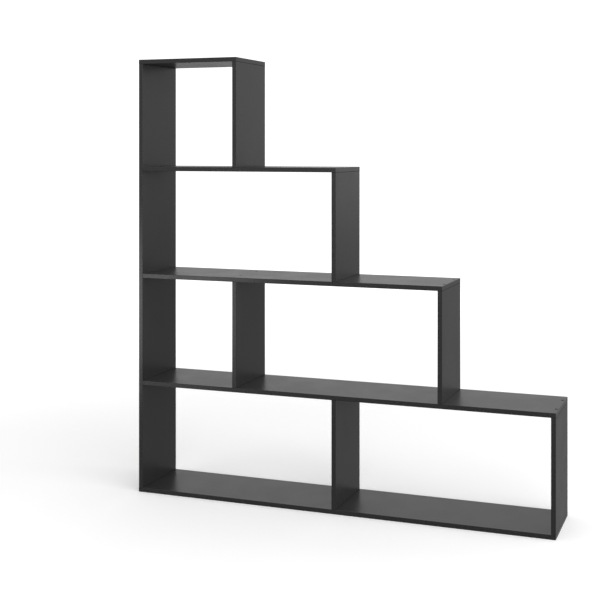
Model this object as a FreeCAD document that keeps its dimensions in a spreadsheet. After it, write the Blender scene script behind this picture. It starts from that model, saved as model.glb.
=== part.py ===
# Stepped room divider bookcase: twelve melamine-faced boards, held by joint screws and hidden loose tongues.
# The steps go down to the right, and each row's uprights stand between those of the row below.
# The origin is on the floor, in the middle of the width and of the depth.
# X runs to the right, Y from the front to the back, and Z up. Lengths are in millimetres.

import FreeCAD, Part
import Sketcher
import os

# The driving sizes. Everything else is worked out from them.

SIZES = {
    # the whole bookcase
    "overall_width": 1550.0,
    "overall_depth": 240.0,
    "overall_height": 1600.0,
    # the boards, and the eased corners of their edge bands
    "board_thickness": 16.0,
    "edge_chamfer": 0.8,
    # the joint screws, and the holes that they go in
    "screw_spacing": 128.0,
    "screw_length": 50.0,
    "head_diameter": 10.0,
    "head_sink": 0.4,
    "shank_diameter": 7.0,
    "socket_width": 4.0,
    "socket_depth": 3.0,
    "screw_clearance": 0.05,
    "hole_spare_depth": 3.0,
    # the loose tongues, and the grooves that they go in
    "tongue_length": 160.0,
    "tongue_width": 18.0,
    "tongue_thickness": 4.0,
    "tongue_depth_in_board": 8.0,
    "tongue_clearance": 0.05,
    "tongue_end_gap": 0.5,
}

COLUMNS = 4
LEVELS = 4
COUNTERSINK_DEGREES = 90

# Lengths worked out from the sizes, as expressions

HALF_WIDTH = "sizes.overall_width / 2"
HALF_DEPTH = "sizes.overall_depth / 2"
THICKNESS = "sizes.board_thickness"
HALF_THICKNESS = "sizes.board_thickness / 2"
COLUMN_PITCH = f"((sizes.overall_width - sizes.board_thickness) / {COLUMNS})"
LEVEL_PITCH = f"((sizes.overall_height - sizes.board_thickness) / {LEVELS})"

HALF_SPACING = "sizes.screw_spacing / 2"
HOLE_DIAMETER = "sizes.shank_diameter + 2 * sizes.screw_clearance"
HOLE_DEPTH_IN_END = "sizes.head_sink + sizes.screw_length - sizes.board_thickness + sizes.hole_spare_depth"
CONE_SLOPE = f"tan({COUNTERSINK_DEGREES / 2} deg)"
HEAD_HEIGHT = f"(sizes.head_diameter - sizes.shank_diameter) / 2 / {CONE_SLOPE}"
COUNTERSINK_DIAMETER = f"sizes.head_diameter + 2 * sizes.screw_clearance + 2 * sizes.head_sink * {CONE_SLOPE}"
SOCKET_CORNER = "sizes.socket_width / sqrt(3)"

HALF_GROOVE_WIDTH = "(sizes.tongue_thickness / 2 + sizes.tongue_clearance)"
HALF_GROOVE_LENGTH = "(sizes.tongue_length / 2 + sizes.tongue_end_gap)"
GROOVE_DEPTH_IN_BOARD = "sizes.tongue_depth_in_board + sizes.tongue_end_gap"
GROOVE_DEPTH_IN_END = "sizes.tongue_width - sizes.tongue_depth_in_board + sizes.tongue_end_gap"

# Turns from the way that a board or a screw is drawn to the way that it stands

ACROSS = FreeCAD.Vector(0, 1, 0)
AS_DRAWN = FreeCAD.Rotation(ACROSS, 0)
STOOD_UP = FreeCAD.Rotation(ACROSS, -90)
HEAD_TO_LEFT = FreeCAD.Rotation(ACROSS, -90)

SKETCH_ORIGIN = (-1, 1)


def column_centre(column):
    """Give the place along X of the middle of an upright, by its column from the left."""
    return f"(-{HALF_WIDTH} + {column} * {COLUMN_PITCH} + {HALF_THICKNESS})"


def level_bottom(level):
    """Give the height of a lying board's underside, by its level from the floor."""
    return f"({level} * {LEVEL_PITCH})"


def level_top(level):
    """Give the height of a lying board's upper face, by its level from the floor."""
    return f"({level} * {LEVEL_PITCH} + {THICKNESS})"


def make_sheet(doc):
    """Put the driving sizes in a spreadsheet, each under its own name."""
    sheet = doc.addObject("Spreadsheet::Sheet", "sizes")
    for row, (name, size) in enumerate(SIZES.items(), start=1):
        sheet.set(f"A{row}", name)
        sheet.set(f"B{row}", str(size))
        sheet.setAlias(f"B{row}", name)
    doc.recompute()


def origin_feature(body, role):
    """Find one of a body's own origin planes or axes."""
    return next(feature for feature in body.Origin.OriginFeatures if feature.Role == role)


def add_sketch(body, plane, name, raised="0"):
    """Add a sketch on one of the body's origin planes, raised along the plane's normal."""
    sketch = body.newObject("Sketcher::SketchObject", f"{body.Label}_{name}")
    sketch.AttachmentSupport = [(origin_feature(body, plane), "")]
    sketch.MapMode = "FlatFace"
    sketch.setExpression("AttachmentOffset.Base.z", raised)
    return sketch


def point_now(sketch, place):
    """Work out where a place, given as two expressions, is at the present sizes."""
    across, up = (float(sketch.evalExpression(expression)) for expression in place)
    return FreeCAD.Vector(across, up, 0)


def pin_point(sketch, geometry, vertex, place):
    """Tie a point of the sketch to its place, measured from the sketch's origin."""
    now = point_now(sketch, place)
    for kind, expression, size in zip(("DistanceX", "DistanceY"), place, (now.x, now.y)):
        constraint = Sketcher.Constraint(kind, *SKETCH_ORIGIN, geometry, vertex, size)
        index = sketch.addConstraint(constraint)
        sketch.setExpression(f"Constraints[{index}]", expression)


def draw_outline(sketch, corners):
    """Draw a closed outline of straight lines through the corners."""
    points = [point_now(sketch, corner) for corner in corners]
    ends = points[1:] + points[:1]
    for start, end in zip(points, ends):
        sketch.addGeometry(Part.LineSegment(start, end), False)
    first_line = sketch.GeometryCount - len(corners)
    for number, corner in enumerate(corners):
        line = first_line + number
        next_line = first_line + (number + 1) % len(corners)
        sketch.addConstraint(Sketcher.Constraint("Coincident", line, 2, next_line, 1))
        pin_point(sketch, line, 1, corner)


def draw_rectangle(sketch, centre, half_across, half_up):
    """Draw a rectangle round its centre."""
    across, up = centre
    draw_outline(sketch, [
        (f"{across} - {half_across}", f"{up} - {half_up}"),
        (f"{across} + {half_across}", f"{up} - {half_up}"),
        (f"{across} + {half_across}", f"{up} + {half_up}"),
        (f"{across} - {half_across}", f"{up} + {half_up}"),
    ])


def draw_circle(sketch, centre, diameter):
    """Draw a circle of the given diameter at its place."""
    now = point_now(sketch, centre)
    radius = float(sketch.evalExpression(f"({diameter}) / 2"))
    circle = sketch.addGeometry(Part.Circle(now, FreeCAD.Vector(0, 0, 1), radius), False)
    pin_point(sketch, circle, 3, centre)
    index = sketch.addConstraint(Sketcher.Constraint("Diameter", circle, 2 * radius))
    sketch.setExpression(f"Constraints[{index}]", diameter)


def place_body(body, rotation, x, y, z):
    """Turn a body and tie it to its place in the bookcase."""
    body.Placement = FreeCAD.Placement(FreeCAD.Vector(), rotation)
    for axis, expression in zip("xyz", (x, y, z)):
        body.setExpression(f"Placement.Base.{axis}", expression)


def volume_now(body):
    """Bring the document up to date and give the body's volume."""
    body.Document.recompute()
    return body.Shape.Volume


def check_cut(body, feature, volume_before):
    """Stop if a cut took nothing away."""
    if volume_now(body) >= volume_before:
        raise ValueError(f"{feature.Name} takes nothing away")


# Boards. Each is drawn lying flat, from its left or lower end along X, with its depth evenly across Y.


def banded_edges(shape, shown_ends):
    """Name the edges along the front and the back, and along the ends that show."""
    names = []
    for number, edge in enumerate(shape.Edges, start=1):
        box = edge.BoundBox
        end = "start" if edge.CenterOfMass.x < shape.BoundBox.Center.x else "finish"
        runs_along = box.XLength > box.YLength + box.ZLength
        runs_across = box.YLength > box.XLength + box.ZLength
        if runs_along or (runs_across and end in shown_ends):
            names.append(f"Edge{number}")
    return names


def make_board(doc, label, length, shown_ends=()):
    """Make a plain board with the corners of its edge bands eased."""
    body = doc.addObject("PartDesign::Body", label)
    body.Label = label
    outline = add_sketch(body, "XY_Plane", "outline")
    draw_outline(outline, [
        ("0", f"-{HALF_DEPTH}"),
        (length, f"-{HALF_DEPTH}"),
        (length, HALF_DEPTH),
        ("0", HALF_DEPTH),
    ])
    blank = body.newObject("PartDesign::Pad", f"{label}_blank")
    blank.Profile = outline
    blank.setExpression("Length", THICKNESS)
    doc.recompute()
    bands = body.newObject("PartDesign::Chamfer", f"{label}_edge_bands")
    bands.Base = (blank, banded_edges(blank.Shape, shown_ends))
    bands.setExpression("Size", "sizes.edge_chamfer")
    doc.recompute()
    return body


def drill_face(body, places):
    """Drill a pair of countersunk holes through the board from its upper face at each place along it."""
    before = volume_now(body)
    sketch = add_sketch(body, "XY_Plane", "screw_places", THICKNESS)
    for place in places:
        draw_circle(sketch, (place, f"-{HALF_SPACING}"), HOLE_DIAMETER)
        draw_circle(sketch, (place, HALF_SPACING), HOLE_DIAMETER)
    holes = body.newObject("PartDesign::Hole", f"{body.Label}_screw_holes")
    holes.Profile = sketch
    holes.DepthType = "ThroughAll"
    holes.HoleCutType = "Countersink"
    holes.HoleCutCountersinkAngle = COUNTERSINK_DEGREES
    holes.setExpression("Diameter", HOLE_DIAMETER)
    holes.setExpression("HoleCutDiameter", COUNTERSINK_DIAMETER)
    check_cut(body, holes, before)


def drill_end(body, end, length):
    """Drill a pair of holes into an end of the board, for the threads of two screws."""
    before = volume_now(body)
    sketch = add_sketch(body, "YZ_Plane", f"{end}_screw_places", length if end == "finish" else "0")
    draw_circle(sketch, (f"-{HALF_SPACING}", HALF_THICKNESS), HOLE_DIAMETER)
    draw_circle(sketch, (HALF_SPACING, HALF_THICKNESS), HOLE_DIAMETER)
    holes = body.newObject("PartDesign::Hole", f"{body.Label}_{end}_screw_holes")
    holes.Profile = sketch
    holes.DepthType = "Dimension"
    holes.DrillPoint = "Flat"
    holes.Reversed = end == "start"
    holes.setExpression("Diameter", HOLE_DIAMETER)
    holes.setExpression("Depth", HOLE_DEPTH_IN_END)
    check_cut(body, holes, before)


def groove_face(body, face, places):
    """Rout a stopped groove for a tongue across the upper or the lower face at each place along it."""
    before = volume_now(body)
    sketch = add_sketch(body, "XY_Plane", f"{face}_groove_outlines", THICKNESS if face == "upper" else "0")
    for place in places:
        draw_rectangle(sketch, (place, "0"), HALF_GROOVE_WIDTH, HALF_GROOVE_LENGTH)
    grooves = body.newObject("PartDesign::Pocket", f"{body.Label}_{face}_grooves")
    grooves.Profile = sketch
    grooves.Reversed = face == "lower"
    grooves.setExpression("Length", GROOVE_DEPTH_IN_BOARD)
    check_cut(body, grooves, before)


def groove_end(body, end, length):
    """Rout a stopped groove for a tongue into an end of the board."""
    before = volume_now(body)
    sketch = add_sketch(body, "YZ_Plane", f"{end}_groove_outline", length if end == "finish" else "0")
    draw_rectangle(sketch, ("0", HALF_THICKNESS), HALF_GROOVE_LENGTH, HALF_GROOVE_WIDTH)
    groove = body.newObject("PartDesign::Pocket", f"{body.Label}_{end}_groove")
    groove.Profile = sketch
    groove.Reversed = end == "start"
    groove.setExpression("Length", GROOVE_DEPTH_IN_END)
    check_cut(body, groove, before)


def make_bottom_board(doc):
    """Make the board on the floor, with grooves for the feet of the lowest row."""
    body = make_board(doc, "bottom_board", "sizes.overall_width", ("start", "finish"))
    groove_face(body, "upper", [f"{column} * {COLUMN_PITCH} + {HALF_THICKNESS}" for column in (0, 2, 4)])
    place_body(body, AS_DRAWN, f"-{HALF_WIDTH}", "0", level_bottom(0))


def make_top_board(doc):
    """Make the short board over the highest row, screwed down at both ends."""
    body = make_board(doc, "top_board", f"{COLUMN_PITCH} + {THICKNESS}", ("start", "finish"))
    drill_face(body, [f"{column} * {COLUMN_PITCH} + {HALF_THICKNESS}" for column in (0, 1)])
    place_body(body, AS_DRAWN, f"-{HALF_WIDTH}", "0", level_bottom(LEVELS))


def make_left_side_panel(doc):
    """Make the tall panel between the bottom and the top board, screwed to the shelves from its outer face."""
    length = f"{LEVELS} * {LEVEL_PITCH} - {THICKNESS}"
    body = make_board(doc, "left_side_panel", length)
    drill_face(body, [f"{level} * {LEVEL_PITCH} - {HALF_THICKNESS}" for level in range(1, LEVELS)])
    groove_end(body, "start", length)
    drill_end(body, "finish", length)
    place_body(body, STOOD_UP, f"-{HALF_WIDTH} + {THICKNESS}", "0", level_top(0))


def make_shelf(doc, level, screwed_columns, footed_columns, tongued_columns=()):
    """Make a shelf from the left panel to the right end of the row under it.

    It is screwed down on some uprights, lies on the tongues of others, and has grooves for the feet on it.
    """
    length = f"{COLUMNS + 1 - level} * {COLUMN_PITCH}"
    body = make_board(doc, f"shelf_{level}", length, ("finish",))
    drill_face(body, [f"{column} * {COLUMN_PITCH} - {HALF_THICKNESS}" for column in screwed_columns])
    drill_end(body, "start", length)
    for face, columns in (("upper", footed_columns), ("lower", tongued_columns)):
        if columns:
            groove_face(body, face, [f"{column} * {COLUMN_PITCH} - {HALF_THICKNESS}" for column in columns])
    place_body(body, AS_DRAWN, f"-{HALF_WIDTH} + {THICKNESS}", "0", level_bottom(level))


def make_upright(doc, label, row, column, screwed_top=True):
    """Make a divider or a right panel, between the boards under and over its row."""
    length = f"{LEVEL_PITCH} - {THICKNESS}"
    body = make_board(doc, label, length)
    groove_end(body, "start", length)
    if screwed_top:
        drill_end(body, "finish", length)
    else:
        groove_end(body, "finish", length)
    place_body(body, STOOD_UP, f"{column_centre(column)} + {HALF_THICKNESS}", "0", level_top(row - 1))


# Screws. Each is drawn from the top of its head down along Z, with the second of the pair behind it.


def make_screws(doc, label, rotation, x, z):
    """Make the two screws of a joint, with countersunk heads and hexagon sockets."""
    body = doc.addObject("PartDesign::Body", label)
    body.Label = label
    profile = add_sketch(body, "XZ_Plane", "profile")
    draw_outline(profile, [
        ("0", "0"),
        ("sizes.head_diameter / 2", "0"),
        ("sizes.shank_diameter / 2", f"-({HEAD_HEIGHT})"),
        ("sizes.shank_diameter / 2", "-sizes.screw_length"),
        ("0", "-sizes.screw_length"),
    ])
    screw = body.newObject("PartDesign::Revolution", f"{label}_blank")
    screw.Profile = profile
    screw.ReferenceAxis = (profile, ["V_Axis"])
    screw.Angle = 360
    before = volume_now(body)
    hexagon = add_sketch(body, "XY_Plane", "socket_outline")
    draw_outline(hexagon, [
        (f"{SOCKET_CORNER} * cos({angle} deg)", f"{SOCKET_CORNER} * sin({angle} deg)")
        for angle in range(0, 360, 60)
    ])
    socket = body.newObject("PartDesign::Pocket", f"{label}_socket")
    socket.Profile = hexagon
    socket.setExpression("Length", "sizes.socket_depth")
    check_cut(body, socket, before)
    body.AllowCompound = True
    pair = body.newObject("PartDesign::LinearPattern", f"{label}_pair")
    pair.Originals = [screw, socket]
    pair.Direction = (origin_feature(body, "Y_Axis"), [""])
    pair.Mode = "Extent"
    pair.Occurrences = 2
    pair.setExpression("Length", "sizes.screw_spacing")
    body.Tip = pair
    place_body(body, rotation, x, f"-{HALF_SPACING}", z)
    doc.recompute()
    if len(body.Shape.Solids) != pair.Occurrences:
        raise ValueError(f"{label} isn't a pair")


def make_screws_from_above(doc, label, column, level):
    """Screw the board at this level down on an upright."""
    make_screws(doc, label, AS_DRAWN, column_centre(column), f"{level_top(level)} - sizes.head_sink")


def make_screws_from_left(doc, label, level):
    """Screw the left panel to the end of the shelf at this level."""
    middle = f"{level_bottom(level)} + {HALF_THICKNESS}"
    make_screws(doc, label, HEAD_TO_LEFT, f"-{HALF_WIDTH} + sizes.head_sink", middle)


# Loose tongues. Each is drawn standing, from its lower edge up along Z.


def make_tongue(doc, label, column, z):
    """Make the tongue between the end of an upright and a lying board."""
    body = doc.addObject("PartDesign::Body", label)
    body.Label = label
    outline = add_sketch(body, "XY_Plane", "outline")
    draw_rectangle(outline, ("0", "0"), "sizes.tongue_thickness / 2", "sizes.tongue_length / 2")
    strip = body.newObject("PartDesign::Pad", f"{label}_strip")
    strip.Profile = outline
    strip.setExpression("Length", "sizes.tongue_width")
    place_body(body, AS_DRAWN, column_centre(column), "0", z)


def make_foot_tongue(doc, label, column, level):
    """Set a tongue in the upper face of the board at this level, for the foot of an upright."""
    make_tongue(doc, label, column, f"{level_top(level)} - sizes.tongue_depth_in_board")


def make_top_tongue(doc, label, column, level):
    """Set a tongue in the underside of the board at this level, for the top of an upright."""
    top = f"{level_bottom(level)} + sizes.tongue_depth_in_board"
    make_tongue(doc, label, column, f"{top} - sizes.tongue_width")


def make_bookcase(doc):
    """Make every board, and the screws or the tongue of every joint."""
    make_bottom_board(doc)
    make_left_side_panel(doc)
    make_shelf(doc, 1, screwed_columns=(4,), footed_columns=(1, 3), tongued_columns=(2,))
    make_shelf(doc, 2, screwed_columns=(1, 3), footed_columns=(2,))
    make_shelf(doc, 3, screwed_columns=(2,), footed_columns=(1,))
    make_top_board(doc)

    make_upright(doc, "row_1_divider", row=1, column=2, screwed_top=False)
    make_upright(doc, "row_1_right_panel", row=1, column=4)
    make_upright(doc, "row_2_divider", row=2, column=1)
    make_upright(doc, "row_2_right_panel", row=2, column=3)
    make_upright(doc, "row_3_right_panel", row=3, column=2)
    make_upright(doc, "row_4_right_panel", row=4, column=1)

    make_foot_tongue(doc, "tongue_left_side_panel_foot", column=0, level=0)
    make_foot_tongue(doc, "tongue_row_1_divider_foot", column=2, level=0)
    make_foot_tongue(doc, "tongue_row_1_right_panel_foot", column=4, level=0)
    make_foot_tongue(doc, "tongue_row_2_divider_foot", column=1, level=1)
    make_foot_tongue(doc, "tongue_row_2_right_panel_foot", column=3, level=1)
    make_foot_tongue(doc, "tongue_row_3_right_panel_foot", column=2, level=2)
    make_foot_tongue(doc, "tongue_row_4_right_panel_foot", column=1, level=3)

    make_top_tongue(doc, "tongue_row_1_divider_top", column=2, level=1)
    make_screws_from_above(doc, "screws_row_1_right_panel_top", column=4, level=1)
    make_screws_from_above(doc, "screws_row_2_divider_top", column=1, level=2)
    make_screws_from_above(doc, "screws_row_2_right_panel_top", column=3, level=2)
    make_screws_from_above(doc, "screws_row_3_right_panel_top", column=2, level=3)
    make_screws_from_above(doc, "screws_row_4_right_panel_top", column=1, level=4)
    make_screws_from_above(doc, "screws_left_side_panel_top", column=0, level=4)

    for level in range(1, LEVELS):
        make_screws_from_left(doc, f"screws_shelf_{level}_left_end", level)


def check_document(doc):
    """Stop unless every object came out well."""
    for part in doc.Objects:
        if "Invalid" in part.State or "Error" in part.State:
            raise ValueError(f"{part.Name} failed: {part.State}")


def write_parts(doc):
    """Write each piece to a file of its own, named by its label."""
    os.makedirs("parts", exist_ok=True)
    bodies = [part for part in doc.Objects if part.TypeId == "PartDesign::Body"]
    for body in bodies:
        if body.Shape.isNull() or not body.Shape.isValid():
            raise ValueError(f"{body.Label} has no valid shape")
    for body in bodies:
        body.Shape.exportStep(f"parts/{body.Label}.step")
    print(len(bodies), "nodes written")


bookcase = FreeCAD.newDocument("room_divider")
make_sheet(bookcase)
make_bookcase(bookcase)
bookcase.recompute()
check_document(bookcase)
write_parts(bookcase)
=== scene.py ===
# A stepped room divider bookcase of dark melamine boards, in a white studio. Lengths are in metres.

import bmesh
import bpy
import math
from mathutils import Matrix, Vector


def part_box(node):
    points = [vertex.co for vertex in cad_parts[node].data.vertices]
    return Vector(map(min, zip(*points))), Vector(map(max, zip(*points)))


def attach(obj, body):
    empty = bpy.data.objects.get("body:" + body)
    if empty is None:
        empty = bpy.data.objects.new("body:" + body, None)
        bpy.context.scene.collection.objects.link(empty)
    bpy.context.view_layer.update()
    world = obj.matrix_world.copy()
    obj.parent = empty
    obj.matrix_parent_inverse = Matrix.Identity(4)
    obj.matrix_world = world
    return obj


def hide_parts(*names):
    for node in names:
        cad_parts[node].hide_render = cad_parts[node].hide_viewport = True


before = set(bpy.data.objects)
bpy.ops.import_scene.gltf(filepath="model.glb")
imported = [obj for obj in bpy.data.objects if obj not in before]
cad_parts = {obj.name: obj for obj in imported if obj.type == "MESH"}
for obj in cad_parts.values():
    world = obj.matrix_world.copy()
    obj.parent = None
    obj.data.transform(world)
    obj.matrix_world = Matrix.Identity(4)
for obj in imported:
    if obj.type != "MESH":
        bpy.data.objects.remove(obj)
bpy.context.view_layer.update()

bpy.ops.object.select_all(action="DESELECT")

MILLIMETRE = 0.001
ORIGIN = (0.0, 0.0, 0.0)
WHITE = (1.0, 1.0, 1.0, 1.0)


# Material maker

class Finish:
    """A new material: its shader, and patterns that follow the coordinates of the object it is on."""

    def __init__(self, name):
        self.material = bpy.data.materials.new(name)
        self.material.use_nodes = True
        self.nodes = self.material.node_tree.nodes
        self.links = self.material.node_tree.links
        self.nodes.clear()
        self.output = self.nodes.new("ShaderNodeOutputMaterial")
        self.shader = self.nodes.new("ShaderNodeBsdfPrincipled")
        self.links.new(self.shader.outputs["BSDF"], self.output.inputs["Surface"])
        self.place = self.nodes.new("ShaderNodeTexCoord").outputs["Object"]

    def feed(self, socket, value):
        """Join a pattern to a socket of the shader."""
        self.links.new(value, self.shader.inputs[socket])

    def noise(self, lumps, detail=2.0, roughness=0.5, place=None):
        """A noise pattern of so many lumps to the metre."""
        pattern = self.nodes.new("ShaderNodeTexNoise")
        pattern.inputs["Scale"].default_value = lumps
        pattern.inputs["Detail"].default_value = detail
        pattern.inputs["Roughness"].default_value = roughness
        self.links.new(self.place if place is None else place, pattern.inputs["Vector"])
        return pattern.outputs["Fac"]

    def spread(self, value, low, high, new_low=0.0, new_high=1.0):
        """The value taken from one range to another, smoothly, and held at its ends."""
        ranged = self.nodes.new("ShaderNodeMapRange")
        ranged.interpolation_type = "SMOOTHSTEP"
        ranged.inputs["From Min"].default_value = low
        ranged.inputs["From Max"].default_value = high
        ranged.inputs["To Min"].default_value = new_low
        ranged.inputs["To Max"].default_value = new_high
        self.links.new(value, ranged.inputs["Value"])
        return ranged.outputs["Result"]

    def deeper(self, depth, line):
        """One where a depth is past a line, nought before it. A line is a narrow range in millimetres."""
        low, high = line
        return self.spread(depth, low * MILLIMETRE, high * MILLIMETRE, 0.0, 1.0)

    def shallower(self, depth, line):
        """One where a depth is before a line, nought past it."""
        low, high = line
        return self.spread(depth, low * MILLIMETRE, high * MILLIMETRE, 1.0, 0.0)

    def calculate(self, operation, first, second=None):
        """Plain arithmetic on one or two values."""
        step = self.nodes.new("ShaderNodeMath")
        step.operation = operation
        for socket, value in zip(step.inputs, (first, second)):
            if value is None:
                continue
            if isinstance(value, (int, float)):
                socket.default_value = value
            else:
                self.links.new(value, socket)
        return step.outputs["Value"]

    def add(self, first, second):
        return self.calculate("ADD", first, second)

    def subtract(self, first, second):
        return self.calculate("SUBTRACT", first, second)

    def multiply(self, first, second):
        return self.calculate("MULTIPLY", first, second)

    def smaller(self, first, second):
        return self.calculate("MINIMUM", first, second)

    def larger(self, first, second):
        return self.calculate("MAXIMUM", first, second)

    def blend(self, amount, first, second):
        """A colour between two, by an amount from nought to one."""
        mixed = self.nodes.new("ShaderNodeMix")
        mixed.data_type = "RGBA"
        self.links.new(amount, mixed.inputs["Factor"])
        for name, colour in (("A", first), ("B", second)):
            socket = next(s for s in mixed.inputs if s.name == name and s.type == "RGBA")
            if isinstance(colour, tuple):
                socket.default_value = (*colour, 1.0)
            else:
                self.links.new(colour, socket)
        return next(s for s in mixed.outputs if s.type == "RGBA")

    def raise_surface(self, *heights):
        """Bumps from height patterns, each with its real height in millimetres."""
        normal = None
        for height, distance in heights:
            bump = self.nodes.new("ShaderNodeBump")
            bump.inputs["Strength"].default_value = 1.0
            bump.inputs["Distance"].default_value = distance * MILLIMETRE
            self.links.new(height, bump.inputs["Height"])
            if normal is not None:
                self.links.new(normal, bump.inputs["Normal"])
            normal = bump.outputs["Normal"]
        self.feed("Normal", normal)


def show_apart(nodes, links, lights_with, looks_like, output):
    """Send one shader to the camera's own rays, and another to all the rest."""
    ray = nodes.new("ShaderNodeLightPath")
    mixed = nodes.new("ShaderNodeMixShader")
    links.new(ray.outputs["Is Camera Ray"], mixed.inputs["Fac"])
    links.new(lights_with, mixed.inputs[1])
    links.new(looks_like, mixed.inputs[2])
    links.new(mixed.outputs["Shader"], output.inputs["Surface"])


# Finish of the boards

ANTHRACITE = (0.0175, 0.0175, 0.0175)
ANTHRACITE_LIGHT = (0.0210, 0.0210, 0.0210)
BAND = (0.0170, 0.0170, 0.0170)
# lighter on the band's corner: partly real wear, partly a painted highlight
BAND_RUBBED_HIGHLIT = (0.0300, 0.0300, 0.0300)
# near black: painted shade in the joint gaps and on the sunk rims of the screw holes
PAINTED_SHADE = (0.0020, 0.0020, 0.0020)
CHIP_DARK = (0.210, 0.120, 0.060)
CHIP_PALE = (0.520, 0.370, 0.220)

# lumps to the metre
CLOUD_LUMPS = 9.0
SCUFF_LUMPS = 60.0
PEARL_LUMPS = 320.0
CHIP_LUMPS = 650.0
GRAIN_LUMPS = 900.0

# lines below a board's faces, in millimetres
FACE_LINE = (0.02, 0.08)
RIM_TOP_LINE = (0.03, 0.06)
BAND_LINE = (0.45, 0.55)
BEVEL_LINE = (0.75, 0.90)
PAST_BEVEL_LINE = (0.90, 0.95)
CORE_LINE = (0.95, 1.05)
CORNER_LINE = (0.1, 1.1)

# heights of the bumps, in millimetres
PEARL_HEIGHT = 0.10
GRAIN_HEIGHT = 0.03
CHIP_HEIGHT = 0.12

CLOUD_SHARE = 0.6
GRAIN_SHARE = 0.4
# most of a noise pattern lies in this range
NOISE_RANGE = (0.3, 0.7)
TONE_RANGE = (0.38, 0.62)
SCUFF_RANGE = (0.45, 0.65)
WEAR_AND_HIGHLIGHT_RANGE = (0.15, 0.7)
CLOUD_RANGE = (0.35, 0.65)

MELAMINE_IOR = 1.46
MELAMINE_SPECULAR = 0.5
MELAMINE_ROUGHNESS = (0.300, 0.340)
CLOUD_ROUGHNESS = (-0.02, 0.02)
BAND_SMOOTHER = 0.05
PAINTED_SHADE_ROUGHER = 0.4
CHIP_ROUGHNESS = 0.85


def depths_inside(finish, offset, half):
    """How deep a point lies below the board's nearer face, along each axis."""
    depths = {}
    for axis, size in zip("XYZ", half):
        off_middle = finish.calculate("ABSOLUTE", offset[axis])
        depths[axis] = finish.subtract(size, off_middle)
    return depths


def joint_shade(finish, offset, half, board):
    """Painted shade in the gap where a board's bevelled corner meets another board: one there, nought
    elsewhere.
    """
    bevels = {}
    for axis, size in (("X", half.x), ("Z", half.z)):
        for side, sign in (("low", 1.0), ("high", -1.0)):
            to_end = finish.add(finish.multiply(offset[axis], sign), size)
            bevels[axis + side] = finish.shallower(to_end, BEVEL_LINE)
    if board == "upright":
        return finish.add(bevels["Zlow"], bevels["Zhigh"])
    met = bevels["Zhigh"] if board == "bottom_board" else bevels["Zlow"]
    right = finish.multiply(bevels["Xhigh"], met)
    left = bevels["Xlow"]
    if not board.startswith("shelf"):
        left = finish.multiply(left, met)
    return finish.add(right, left)


def hollows(finish, depths, board):
    """Painted shade on the sunk rims of the screw holes, and where the chipboard lies open, as two masks.

    The chipboard shows deeper in the holes and grooves, and on the hidden ends of the uprights.
    """
    lesser = finish.smaller(depths["X"], depths["Y"])
    greater = finish.larger(depths["X"], depths["Y"])
    nearest = finish.smaller(lesser, depths["Z"])
    second = finish.larger(lesser, finish.smaller(greater, depths["Z"]))
    # a bevelled corner is never this far from two faces, but the wall of a hole or groove is
    within = finish.deeper(second, PAST_BEVEL_LINE)
    below = finish.deeper(nearest, RIM_TOP_LINE)
    deep = finish.deeper(nearest, CORE_LINE)
    raw = finish.multiply(within, deep)
    # the sunk rim just below the face gets painted shade, as in a shadowed recess
    rim_shade = finish.multiply(within, finish.subtract(below, deep))
    if board == "upright":
        by_end = finish.shallower(depths["Z"], CORE_LINE)
        inside = finish.deeper(lesser, CORE_LINE)
        raw = finish.larger(raw, finish.multiply(by_end, inside))
    return rim_shade, raw


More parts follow.
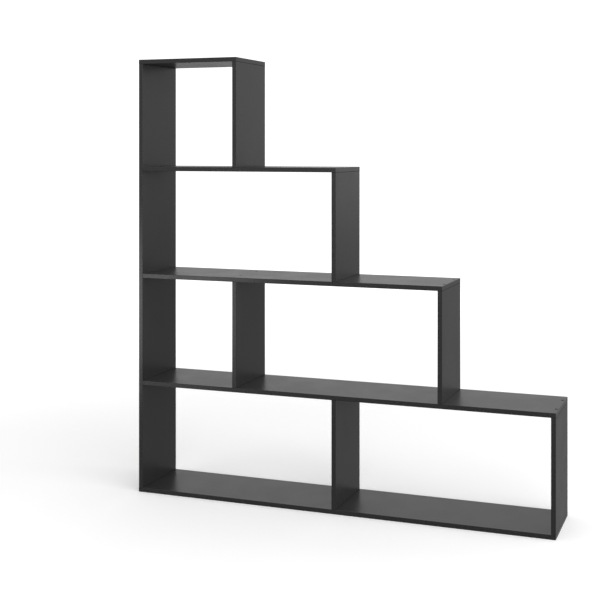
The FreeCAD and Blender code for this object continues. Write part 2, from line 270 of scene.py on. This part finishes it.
def melamine(name, low, high, board):
    """Anthracite melamine with a fine pearled grain, and smoother edge bands, rubbed a little with a painted
    highlight on the rubbed edges; painted shade in the joint gaps and on the sunk rims of the screw holes.
    """
    finish = Finish(name)
    half = (high - low) / 2
    mapping = finish.nodes.new("ShaderNodeMapping")
    mapping.inputs["Location"].default_value = -(low + high) / 2
    finish.links.new(finish.place, mapping.inputs["Vector"])
    split = finish.nodes.new("ShaderNodeSeparateXYZ")
    finish.links.new(mapping.outputs["Vector"], split.inputs["Vector"])
    offset = split.outputs
    depths = depths_inside(finish, offset, half)

    # the edge bands are the outer half millimetre, front and back, and on the ends of the level boards
    to_edge = depths["Y"]
    if board != "upright":
        to_edge = finish.smaller(to_edge, depths["X"])
    on_band = finish.shallower(to_edge, BAND_LINE)
    corner = finish.shallower(to_edge, CORNER_LINE)
    face_of_band = finish.shallower(to_edge, FACE_LINE)
    # the bevelled corner of the band, lightened both as wear and as a painted highlight
    rubbed_and_highlit = finish.subtract(corner, face_of_band)

    cloud = finish.noise(CLOUD_LUMPS, detail=4.0)
    grain = finish.noise(GRAIN_LUMPS, detail=3.0, roughness=0.6)
    pearl = finish.noise(PEARL_LUMPS)
    scuff = finish.noise(SCUFF_LUMPS, detail=5.0, roughness=0.7)
    chips = finish.noise(CHIP_LUMPS, detail=3.0, roughness=0.75)

    depth_of_tone = finish.add(finish.multiply(cloud, CLOUD_SHARE), finish.multiply(grain, GRAIN_SHARE))
    faces = finish.blend(finish.spread(depth_of_tone, *TONE_RANGE), ANTHRACITE, ANTHRACITE_LIGHT)
    banded = finish.blend(on_band, faces, BAND)
    # wear and painted highlight along the band's corners, uneven in patches
    wear_and_highlight = finish.multiply(rubbed_and_highlit, finish.spread(scuff, *SCUFF_RANGE, *WEAR_AND_HIGHLIGHT_RANGE))
    worn_and_highlit = finish.blend(wear_and_highlight, banded, BAND_RUBBED_HIGHLIT)
    rim_shade, raw = hollows(finish, depths, board)
    # painted shade: the joint gaps and the sunk rims of the screw holes are darkened in the colour
    painted_shade = finish.larger(rim_shade, joint_shade(finish, offset, half, board))
    outside = finish.blend(painted_shade, worn_and_highlit, PAINTED_SHADE)
    core = finish.blend(finish.spread(chips, *TONE_RANGE), CHIP_DARK, CHIP_PALE)
    finish.feed("Base Color", finish.blend(raw, outside, core))

    dull = finish.spread(pearl, *NOISE_RANGE, *MELAMINE_ROUGHNESS)
    dull = finish.add(dull, finish.spread(cloud, *CLOUD_RANGE, *CLOUD_ROUGHNESS))
    dull = finish.subtract(dull, finish.multiply(on_band, BAND_SMOOTHER))
    # rougher where the shade is painted
    dull = finish.add(dull, finish.multiply(painted_shade, PAINTED_SHADE_ROUGHER))
    dull = finish.larger(dull, finish.multiply(raw, CHIP_ROUGHNESS))
    finish.feed("Roughness", dull)
    finish.shader.inputs["IOR"].default_value = MELAMINE_IOR
    finish.shader.inputs["Specular IOR Level"].default_value = MELAMINE_SPECULAR

    off_band = finish.subtract(1.0, on_band)
    finish.raise_surface((finish.multiply(pearl, off_band), PEARL_HEIGHT),
                         (finish.multiply(grain, off_band), GRAIN_HEIGHT),
                         (finish.multiply(chips, raw), CHIP_HEIGHT))
    return finish.material


# Finishes of the screws and tongues

COAT_DARK = (0.004, 0.004, 0.004)
COAT_WORN = (0.010, 0.010, 0.010)
COAT_RANGE = (0.35, 0.7)
COAT_ROUGHNESS = (0.55, 0.70)
COAT_SPECULAR = 0.05
PATCH_LUMPS = 700.0
FINE_LUMPS = 4000.0
FINE_HEIGHT = 0.01
FIBRE_DARK = (0.20, 0.115, 0.055)
FIBRE_PALE = (0.34, 0.22, 0.12)
FIBRE_RANGE = (0.35, 0.68)
FIBRE_ROUGHNESS = (0.6, 0.8)
FIBRE_STRETCH = (1.0, 0.25, 1.0)
FIBRE_LUMPS = 1400.0
FIBRE_HEIGHT = 0.05


def black_steel():
    """Matt black-coated steel of the screws, with the coat uneven in patches."""
    finish = Finish("black_coated_steel")
    patch = finish.noise(PATCH_LUMPS, detail=3.0)
    fine = finish.noise(FINE_LUMPS)
    finish.feed("Base Color", finish.blend(finish.spread(patch, *COAT_RANGE), COAT_DARK, COAT_WORN))
    finish.feed("Roughness", finish.spread(fine, *NOISE_RANGE, *COAT_ROUGHNESS))
    finish.shader.inputs["Specular IOR Level"].default_value = COAT_SPECULAR
    finish.raise_surface((fine, FINE_HEIGHT))
    return finish.material


def hardboard():
    """Brown pressed hardboard of the loose tongues, flecked with fibres."""
    finish = Finish("hardboard")
    stretched = finish.nodes.new("ShaderNodeMapping")
    stretched.inputs["Scale"].default_value = FIBRE_STRETCH
    finish.links.new(finish.place, stretched.inputs["Vector"])
    fibres = finish.noise(FIBRE_LUMPS, detail=5.0, roughness=0.65, place=stretched.outputs["Vector"])
    finish.feed("Base Color", finish.blend(finish.spread(fibres, *FIBRE_RANGE), FIBRE_DARK, FIBRE_PALE))
    finish.feed("Roughness", finish.spread(fibres, *NOISE_RANGE, *FIBRE_ROUGHNESS))
    finish.raise_surface((fibres, FIBRE_HEIGHT))
    return finish.material


def give_material(node, material):
    """Put a material in every slot of a CAD node."""
    for material_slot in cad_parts[node].material_slots:
        material_slot.material = material


tongue_material = hardboard()
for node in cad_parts:
    if node.startswith("tongue_"):
        give_material(node, tongue_material)
    elif not node.startswith("screws_"):
        board = node if node.startswith(("bottom", "top", "shelf")) else "upright"
        give_material(node, melamine(f"melamine_{node}", *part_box(node), board))


# Joint screws, in millimetres

FACES_ROUND = 42
RIM_RADIUS = 4.75
HEAD_RADIUS = 5.0
# each ring below the rim, and below the mouth of the socket: its radius and its depth
SCREW_RINGS = ((4.88, 0.12), (3.5, 1.5), (3.5, 9.0), (2.45, 10.2), (2.45, 46.5), (1.7, 49.6), (1.5, 50.0))
SOCKET_SIDES = 6
SOCKET_RADIUS = 2.45
SOCKET_RINGS = ((2.31, 0.14), (2.31, 2.6))
SOCKET_TIP = 0.4
RING_LIFT = 3.0
HAIR = 0.01

THREAD_PITCH = 3.0
THREAD_TURNS = 13
THREAD_STEPS = 24
THREAD_TOP = 8.5
THREAD_RADIUS = 2.915
THREAD_HEIGHT = 1.13
THREAD_WIDTH = 1.7
CREST_SHARE = 0.14
RUN_OUT_DEPTHS = (45.4, 46.0, 46.6, 47.2)
RUN_OUT_SHARE = 0.92

SMOOTH_ANGLE = math.radians(35.0)
QUARTER_TURN = math.radians(90.0)


def select_only(*pieces):
    """Select these pieces and no others, with the first of them active."""
    bpy.ops.object.select_all(action="DESELECT")
    for piece in pieces:
        piece.select_set(True)
    bpy.context.view_layer.objects.active = pieces[0]


def edit_points():
    """Go into edit mode with every point of the active piece selected."""
    bpy.ops.object.mode_set(mode="EDIT")
    bpy.ops.mesh.select_mode(type="VERT")
    bpy.ops.mesh.select_all(action="SELECT")


def turn_faces_out():
    """Make every face of the piece in edit mode point outwards, and go back to object mode."""
    bpy.ops.mesh.select_all(action="SELECT")
    bpy.ops.mesh.normals_make_consistent(inside=False)
    bpy.ops.object.mode_set(mode="OBJECT")


def pick_vertices(wanted):
    """Select the vertices whose place in millimetres passes a test, in the mesh that is in edit mode."""
    mesh = bmesh.from_edit_mesh(bpy.context.object.data)
    for vertex in mesh.verts:
        vertex.select = wanted(vertex.co / MILLIMETRE)
    mesh.select_flush_mode()
    bmesh.update_edit_mesh(bpy.context.object.data)


def extrude_down(distance):
    """Extrude what is selected straight down."""
    bpy.ops.mesh.extrude_region_move(TRANSFORM_OT_translate={"value": (0.0, 0.0, -distance * MILLIMETRE)})


def move_up(distance):
    """Move what is selected straight up."""
    bpy.ops.transform.translate(value=(0.0, 0.0, distance * MILLIMETRE))


def draw_down(first_radius, rings):
    """Extrude the selected ring down through more rings."""
    radius, depth = first_radius, 0.0
    for next_radius, next_depth in rings:
        extrude_down(next_depth - depth)
        growth = next_radius / radius
        bpy.ops.transform.resize(value=(growth, growth, 1.0), center_override=ORIGIN)
        radius, depth = next_radius, next_depth


def screw_blank():
    """A countersunk screw without its thread, head up, with a hexagon socket."""
    bpy.ops.mesh.primitive_circle_add(vertices=FACES_ROUND, radius=RIM_RADIUS * MILLIMETRE, location=ORIGIN)
    blank = bpy.context.object
    edit_points()
    draw_down(RIM_RADIUS, SCREW_RINGS)
    bpy.ops.mesh.edge_face_add()
    bpy.ops.mesh.select_all(action="DESELECT")
    bpy.ops.mesh.primitive_circle_add(vertices=SOCKET_SIDES, radius=SOCKET_RADIUS * MILLIMETRE, location=ORIGIN)
    bpy.ops.mesh.subdivide(number_cuts=FACES_ROUND // SOCKET_SIDES - 1)
    draw_down(SOCKET_RADIUS, SOCKET_RINGS)
    extrude_down(SOCKET_TIP)
    bpy.ops.mesh.merge(type="CENTER")
    # the socket's ring is lifted while it is joined to the head's, so that both run the same way round
    pick_vertices(lambda place: place.z > -HAIR and place.xy.length < (SOCKET_RADIUS + RIM_RADIUS) / 2)
    move_up(RING_LIFT)
    pick_vertices(lambda place: place.z > -HAIR)
    bpy.ops.mesh.bridge_edge_loops()
    pick_vertices(lambda place: place.z > RING_LIFT / 2)
    move_up(-RING_LIFT)
    turn_faces_out()
    return blank


def screw_thread():
    """A coarse thread that runs out towards the tip."""
    bpy.ops.mesh.primitive_plane_add(size=MILLIMETRE, rotation=(QUARTER_TURN, 0.0, 0.0),
                                     location=(THREAD_RADIUS * MILLIMETRE, 0.0, -THREAD_TOP * MILLIMETRE))
    thread = bpy.context.object
    thread.scale = (THREAD_HEIGHT, THREAD_WIDTH, 1.0)
    bpy.ops.object.transform_apply(location=True, rotation=True, scale=True)
    edit_points()
    bpy.ops.mesh.delete(type="ONLY_FACE")
    pick_vertices(lambda place: place.x > THREAD_RADIUS)
    bpy.ops.transform.resize(value=(1.0, 1.0, CREST_SHARE),
                             center_override=(0.0, 0.0, -THREAD_TOP * MILLIMETRE))
    bpy.ops.object.mode_set(mode="OBJECT")
    turns = thread.modifiers.new("turns", "SCREW")
    turns.axis = "Z"
    turns.screw_offset = -THREAD_PITCH * MILLIMETRE
    turns.iterations = THREAD_TURNS
    turns.steps = THREAD_STEPS
    turns.render_steps = THREAD_STEPS
    bpy.ops.object.modifier_apply(modifier="turns")
    edit_points()
    bpy.ops.mesh.fill_holes(sides=4)
    for depth in RUN_OUT_DEPTHS:
        pick_vertices(lambda place: place.z < -depth)
        bpy.ops.transform.resize(value=(RUN_OUT_SHARE, RUN_OUT_SHARE, 1.0), center_override=ORIGIN)
    turn_faces_out()
    return thread


def threaded_screw():
    """The screw and its thread as one closed body."""
    screw = screw_blank()
    thread = screw_thread()
    select_only(screw)
    union = screw.modifiers.new("thread", "BOOLEAN")
    union.operation = "UNION"
    union.solver = "EXACT"
    union.object = thread
    bpy.ops.object.modifier_apply(modifier="thread")
    bpy.data.objects.remove(thread)
    bpy.ops.object.shade_smooth_by_angle(angle=SMOOTH_ANGLE)
    return screw


def place_screw(pattern, place, sideways):
    """A copy of the screw with its head's top at a place, and its tip down or to the right."""
    select_only(pattern)
    bpy.ops.object.duplicate()
    screw = bpy.context.object
    screw.location = place
    if sideways:
        screw.rotation_euler = (0.0, -QUARTER_TURN, 0.0)
    bpy.ops.object.transform_apply(location=True, rotation=True, scale=True)
    return screw


def join_up(pieces, name):
    """Join pieces into one mesh."""
    select_only(*pieces)
    bpy.ops.object.join()
    joined = bpy.context.object
    joined.name = name
    joined.data.name = name
    return joined


def screw_pairs(material):
    """The threaded screws of every joint, in place of the plain ones."""
    pattern = threaded_screw()
    pattern.data.materials.append(material)
    for node in [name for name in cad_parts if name.startswith("screws_")]:
        low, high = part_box(node)
        sideways = node.endswith("_left_end")
        if sideways:
            head = Vector((low.x, 0.0, (low.z + high.z) / 2))
        else:
            head = Vector(((low.x + high.x) / 2, 0.0, high.z))
        reach = high.y - HEAD_RADIUS * MILLIMETRE
        screws = [place_screw(pattern, head + Vector((0.0, side, 0.0)), sideways) for side in (-reach, reach)]
        pair = join_up(screws, f"threaded_{node}")
        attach(pair, "root")
        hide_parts(node)
    bpy.data.objects.remove(pattern)
    bpy.ops.object.select_all(action="DESELECT")


screw_pairs(black_steel())


# Floor

FLOOR_SIZE = 30.0
FLOOR_WHITE = (0.89, 0.89, 0.89)
FLOOR_WHITE_LIGHT = (0.91, 0.91, 0.91)
FLOOR_GREY = (0.05, 0.05, 0.05, 1.0)
FLOOR_SHEEN = 0.28
FLOOR_ROUGHNESS = 0.9
FLOOR_LUMPS = 1.5
# the glow grows from the first distance to the second
FLOOR_GLOW = (0.183, 0.65)
GLOW_DISTANCE = (1.2, 5.0)


def white_floor():
    """A wide studio floor: near white to look at, and a mid grey as the object's faces mirror it."""
    bpy.ops.mesh.primitive_plane_add(size=FLOOR_SIZE, location=ORIGIN)
    floor = bpy.context.object
    floor.name = "studio_floor"
    finish = Finish("studio_floor_white")
    nodes, links, shader = finish.nodes, finish.links, finish.shader
    cloud = finish.noise(FLOOR_LUMPS, detail=3.0)
    finish.feed("Base Color", finish.blend(cloud, FLOOR_WHITE, FLOOR_WHITE_LIGHT))
    shader.inputs["Roughness"].default_value = FLOOR_ROUGHNESS
    shader.inputs["Specular IOR Level"].default_value = 0.0
    shader.inputs["Emission Color"].default_value = WHITE
    away = nodes.new("ShaderNodeVectorMath")
    away.operation = "LENGTH"
    links.new(finish.place, away.inputs[0])
    finish.feed("Emission Strength", finish.spread(away.outputs["Value"], *GLOW_DISTANCE, *FLOOR_GLOW))
    grey = nodes.new("ShaderNodeBsdfDiffuse")
    grey.inputs["Color"].default_value = FLOOR_GREY
    sheen = nodes.new("ShaderNodeEmission")
    sheen.inputs["Strength"].default_value = FLOOR_SHEEN
    mirrored = nodes.new("ShaderNodeAddShader")
    links.new(grey.outputs["BSDF"], mirrored.inputs[0])
    links.new(sheen.outputs["Emission"], mirrored.inputs[1])
    show_apart(nodes, links, mirrored.outputs["Shader"], shader.outputs["BSDF"], finish.output)
    floor.data.materials.append(finish.material)


white_floor()


# Lights

AIR_SHED = 0.675
AIR_SEEN = 1.2
LOW_MIDDLE = (0.0, 0.0, 0.6)

# name, place, what it is turned to, width, height, power in watts
SOFTBOXES = (
    ("right_key_softbox", (4.5, -1.0, 4.5), LOW_MIDDLE, 4.4, 4.4, 121.0),
    ("front_key_softbox", (3.0, -5.0, 3.0), LOW_MIDDLE, 4.0, 4.0, 101.0),
    ("back_softbox", (0.0, 4.0, 5.0), LOW_MIDDLE, 3.0, 3.0, 22.0),
    ("back_left_card", (-1.9, 5.0, 0.85), (-0.2, 0.0, 1.0), 3.6, 1.0, 1.8),
    ("front_fill", (0.0, -6.0, 1.6), (0.0, 0.0, 0.8), 4.0, 2.5, 25.0),
    ("left_front_card", (-1.75, -1.85, 0.42), (-0.70, 0.0, 0.7), 1.0, 0.7, 5.8),
)


def softbox(name, place, aim, width, height, power):
    """A large soft light, turned towards a point, that the camera doesn't see."""
    bpy.ops.object.light_add(type="AREA", location=place)
    light = bpy.context.object
    light.name = name
    light.data.shape = "RECTANGLE"
    light.data.size = width
    light.data.size_y = height
    light.data.energy = power
    light.visible_camera = False
    towards = Vector(aim) - Vector(place)
    light.rotation_euler = towards.to_track_quat("-Z", "Y").to_euler()


def studio_air():
    """The white surroundings: one brightness for the camera, and one to light the object."""
    world = bpy.data.worlds.new("studio_air")
    bpy.context.scene.world = world
    world.use_nodes = True
    nodes = world.node_tree.nodes
    nodes.clear()
    output = nodes.new("ShaderNodeOutputWorld")
    backgrounds = []
    for strength in (AIR_SHED, AIR_SEEN):
        background = nodes.new("ShaderNodeBackground")
        background.inputs["Color"].default_value = WHITE
        background.inputs["Strength"].default_value = strength
        backgrounds.append(background.outputs["Background"])
    show_apart(nodes, world.node_tree.links, *backgrounds, output)


studio_air()
for light_values in SOFTBOXES:
    softbox(*light_values)


# Camera

CAMERA_PLACE = (1.3507, -3.5016, 1.2744)
CAMERA_TURN = math.radians(18.136)
FILM_WIDTH = 36.0
LENS = 62.7645
SHIFT_ACROSS = -0.16667
SHIFT_UP = -0.25403
FARTHEST = 200.0


def photograph_camera():
    """A level camera to the right of the bookcase, at the height of its third shelf."""
    bpy.ops.object.camera_add(location=CAMERA_PLACE)
    camera = bpy.context.object
    camera.name = "camera"
    camera.rotation_euler = (QUARTER_TURN, 0.0, CAMERA_TURN)
    camera.data.sensor_width = FILM_WIDTH
    camera.data.lens = LENS
    camera.data.shift_x = SHIFT_ACROSS
    camera.data.shift_y = SHIFT_UP
    camera.data.clip_end = FARTHEST
    bpy.context.scene.camera = camera


photograph_camera()
bpy.context.scene.view_settings.view_transform = "Standard"
bpy.context.scene.view_settings.look = "None"
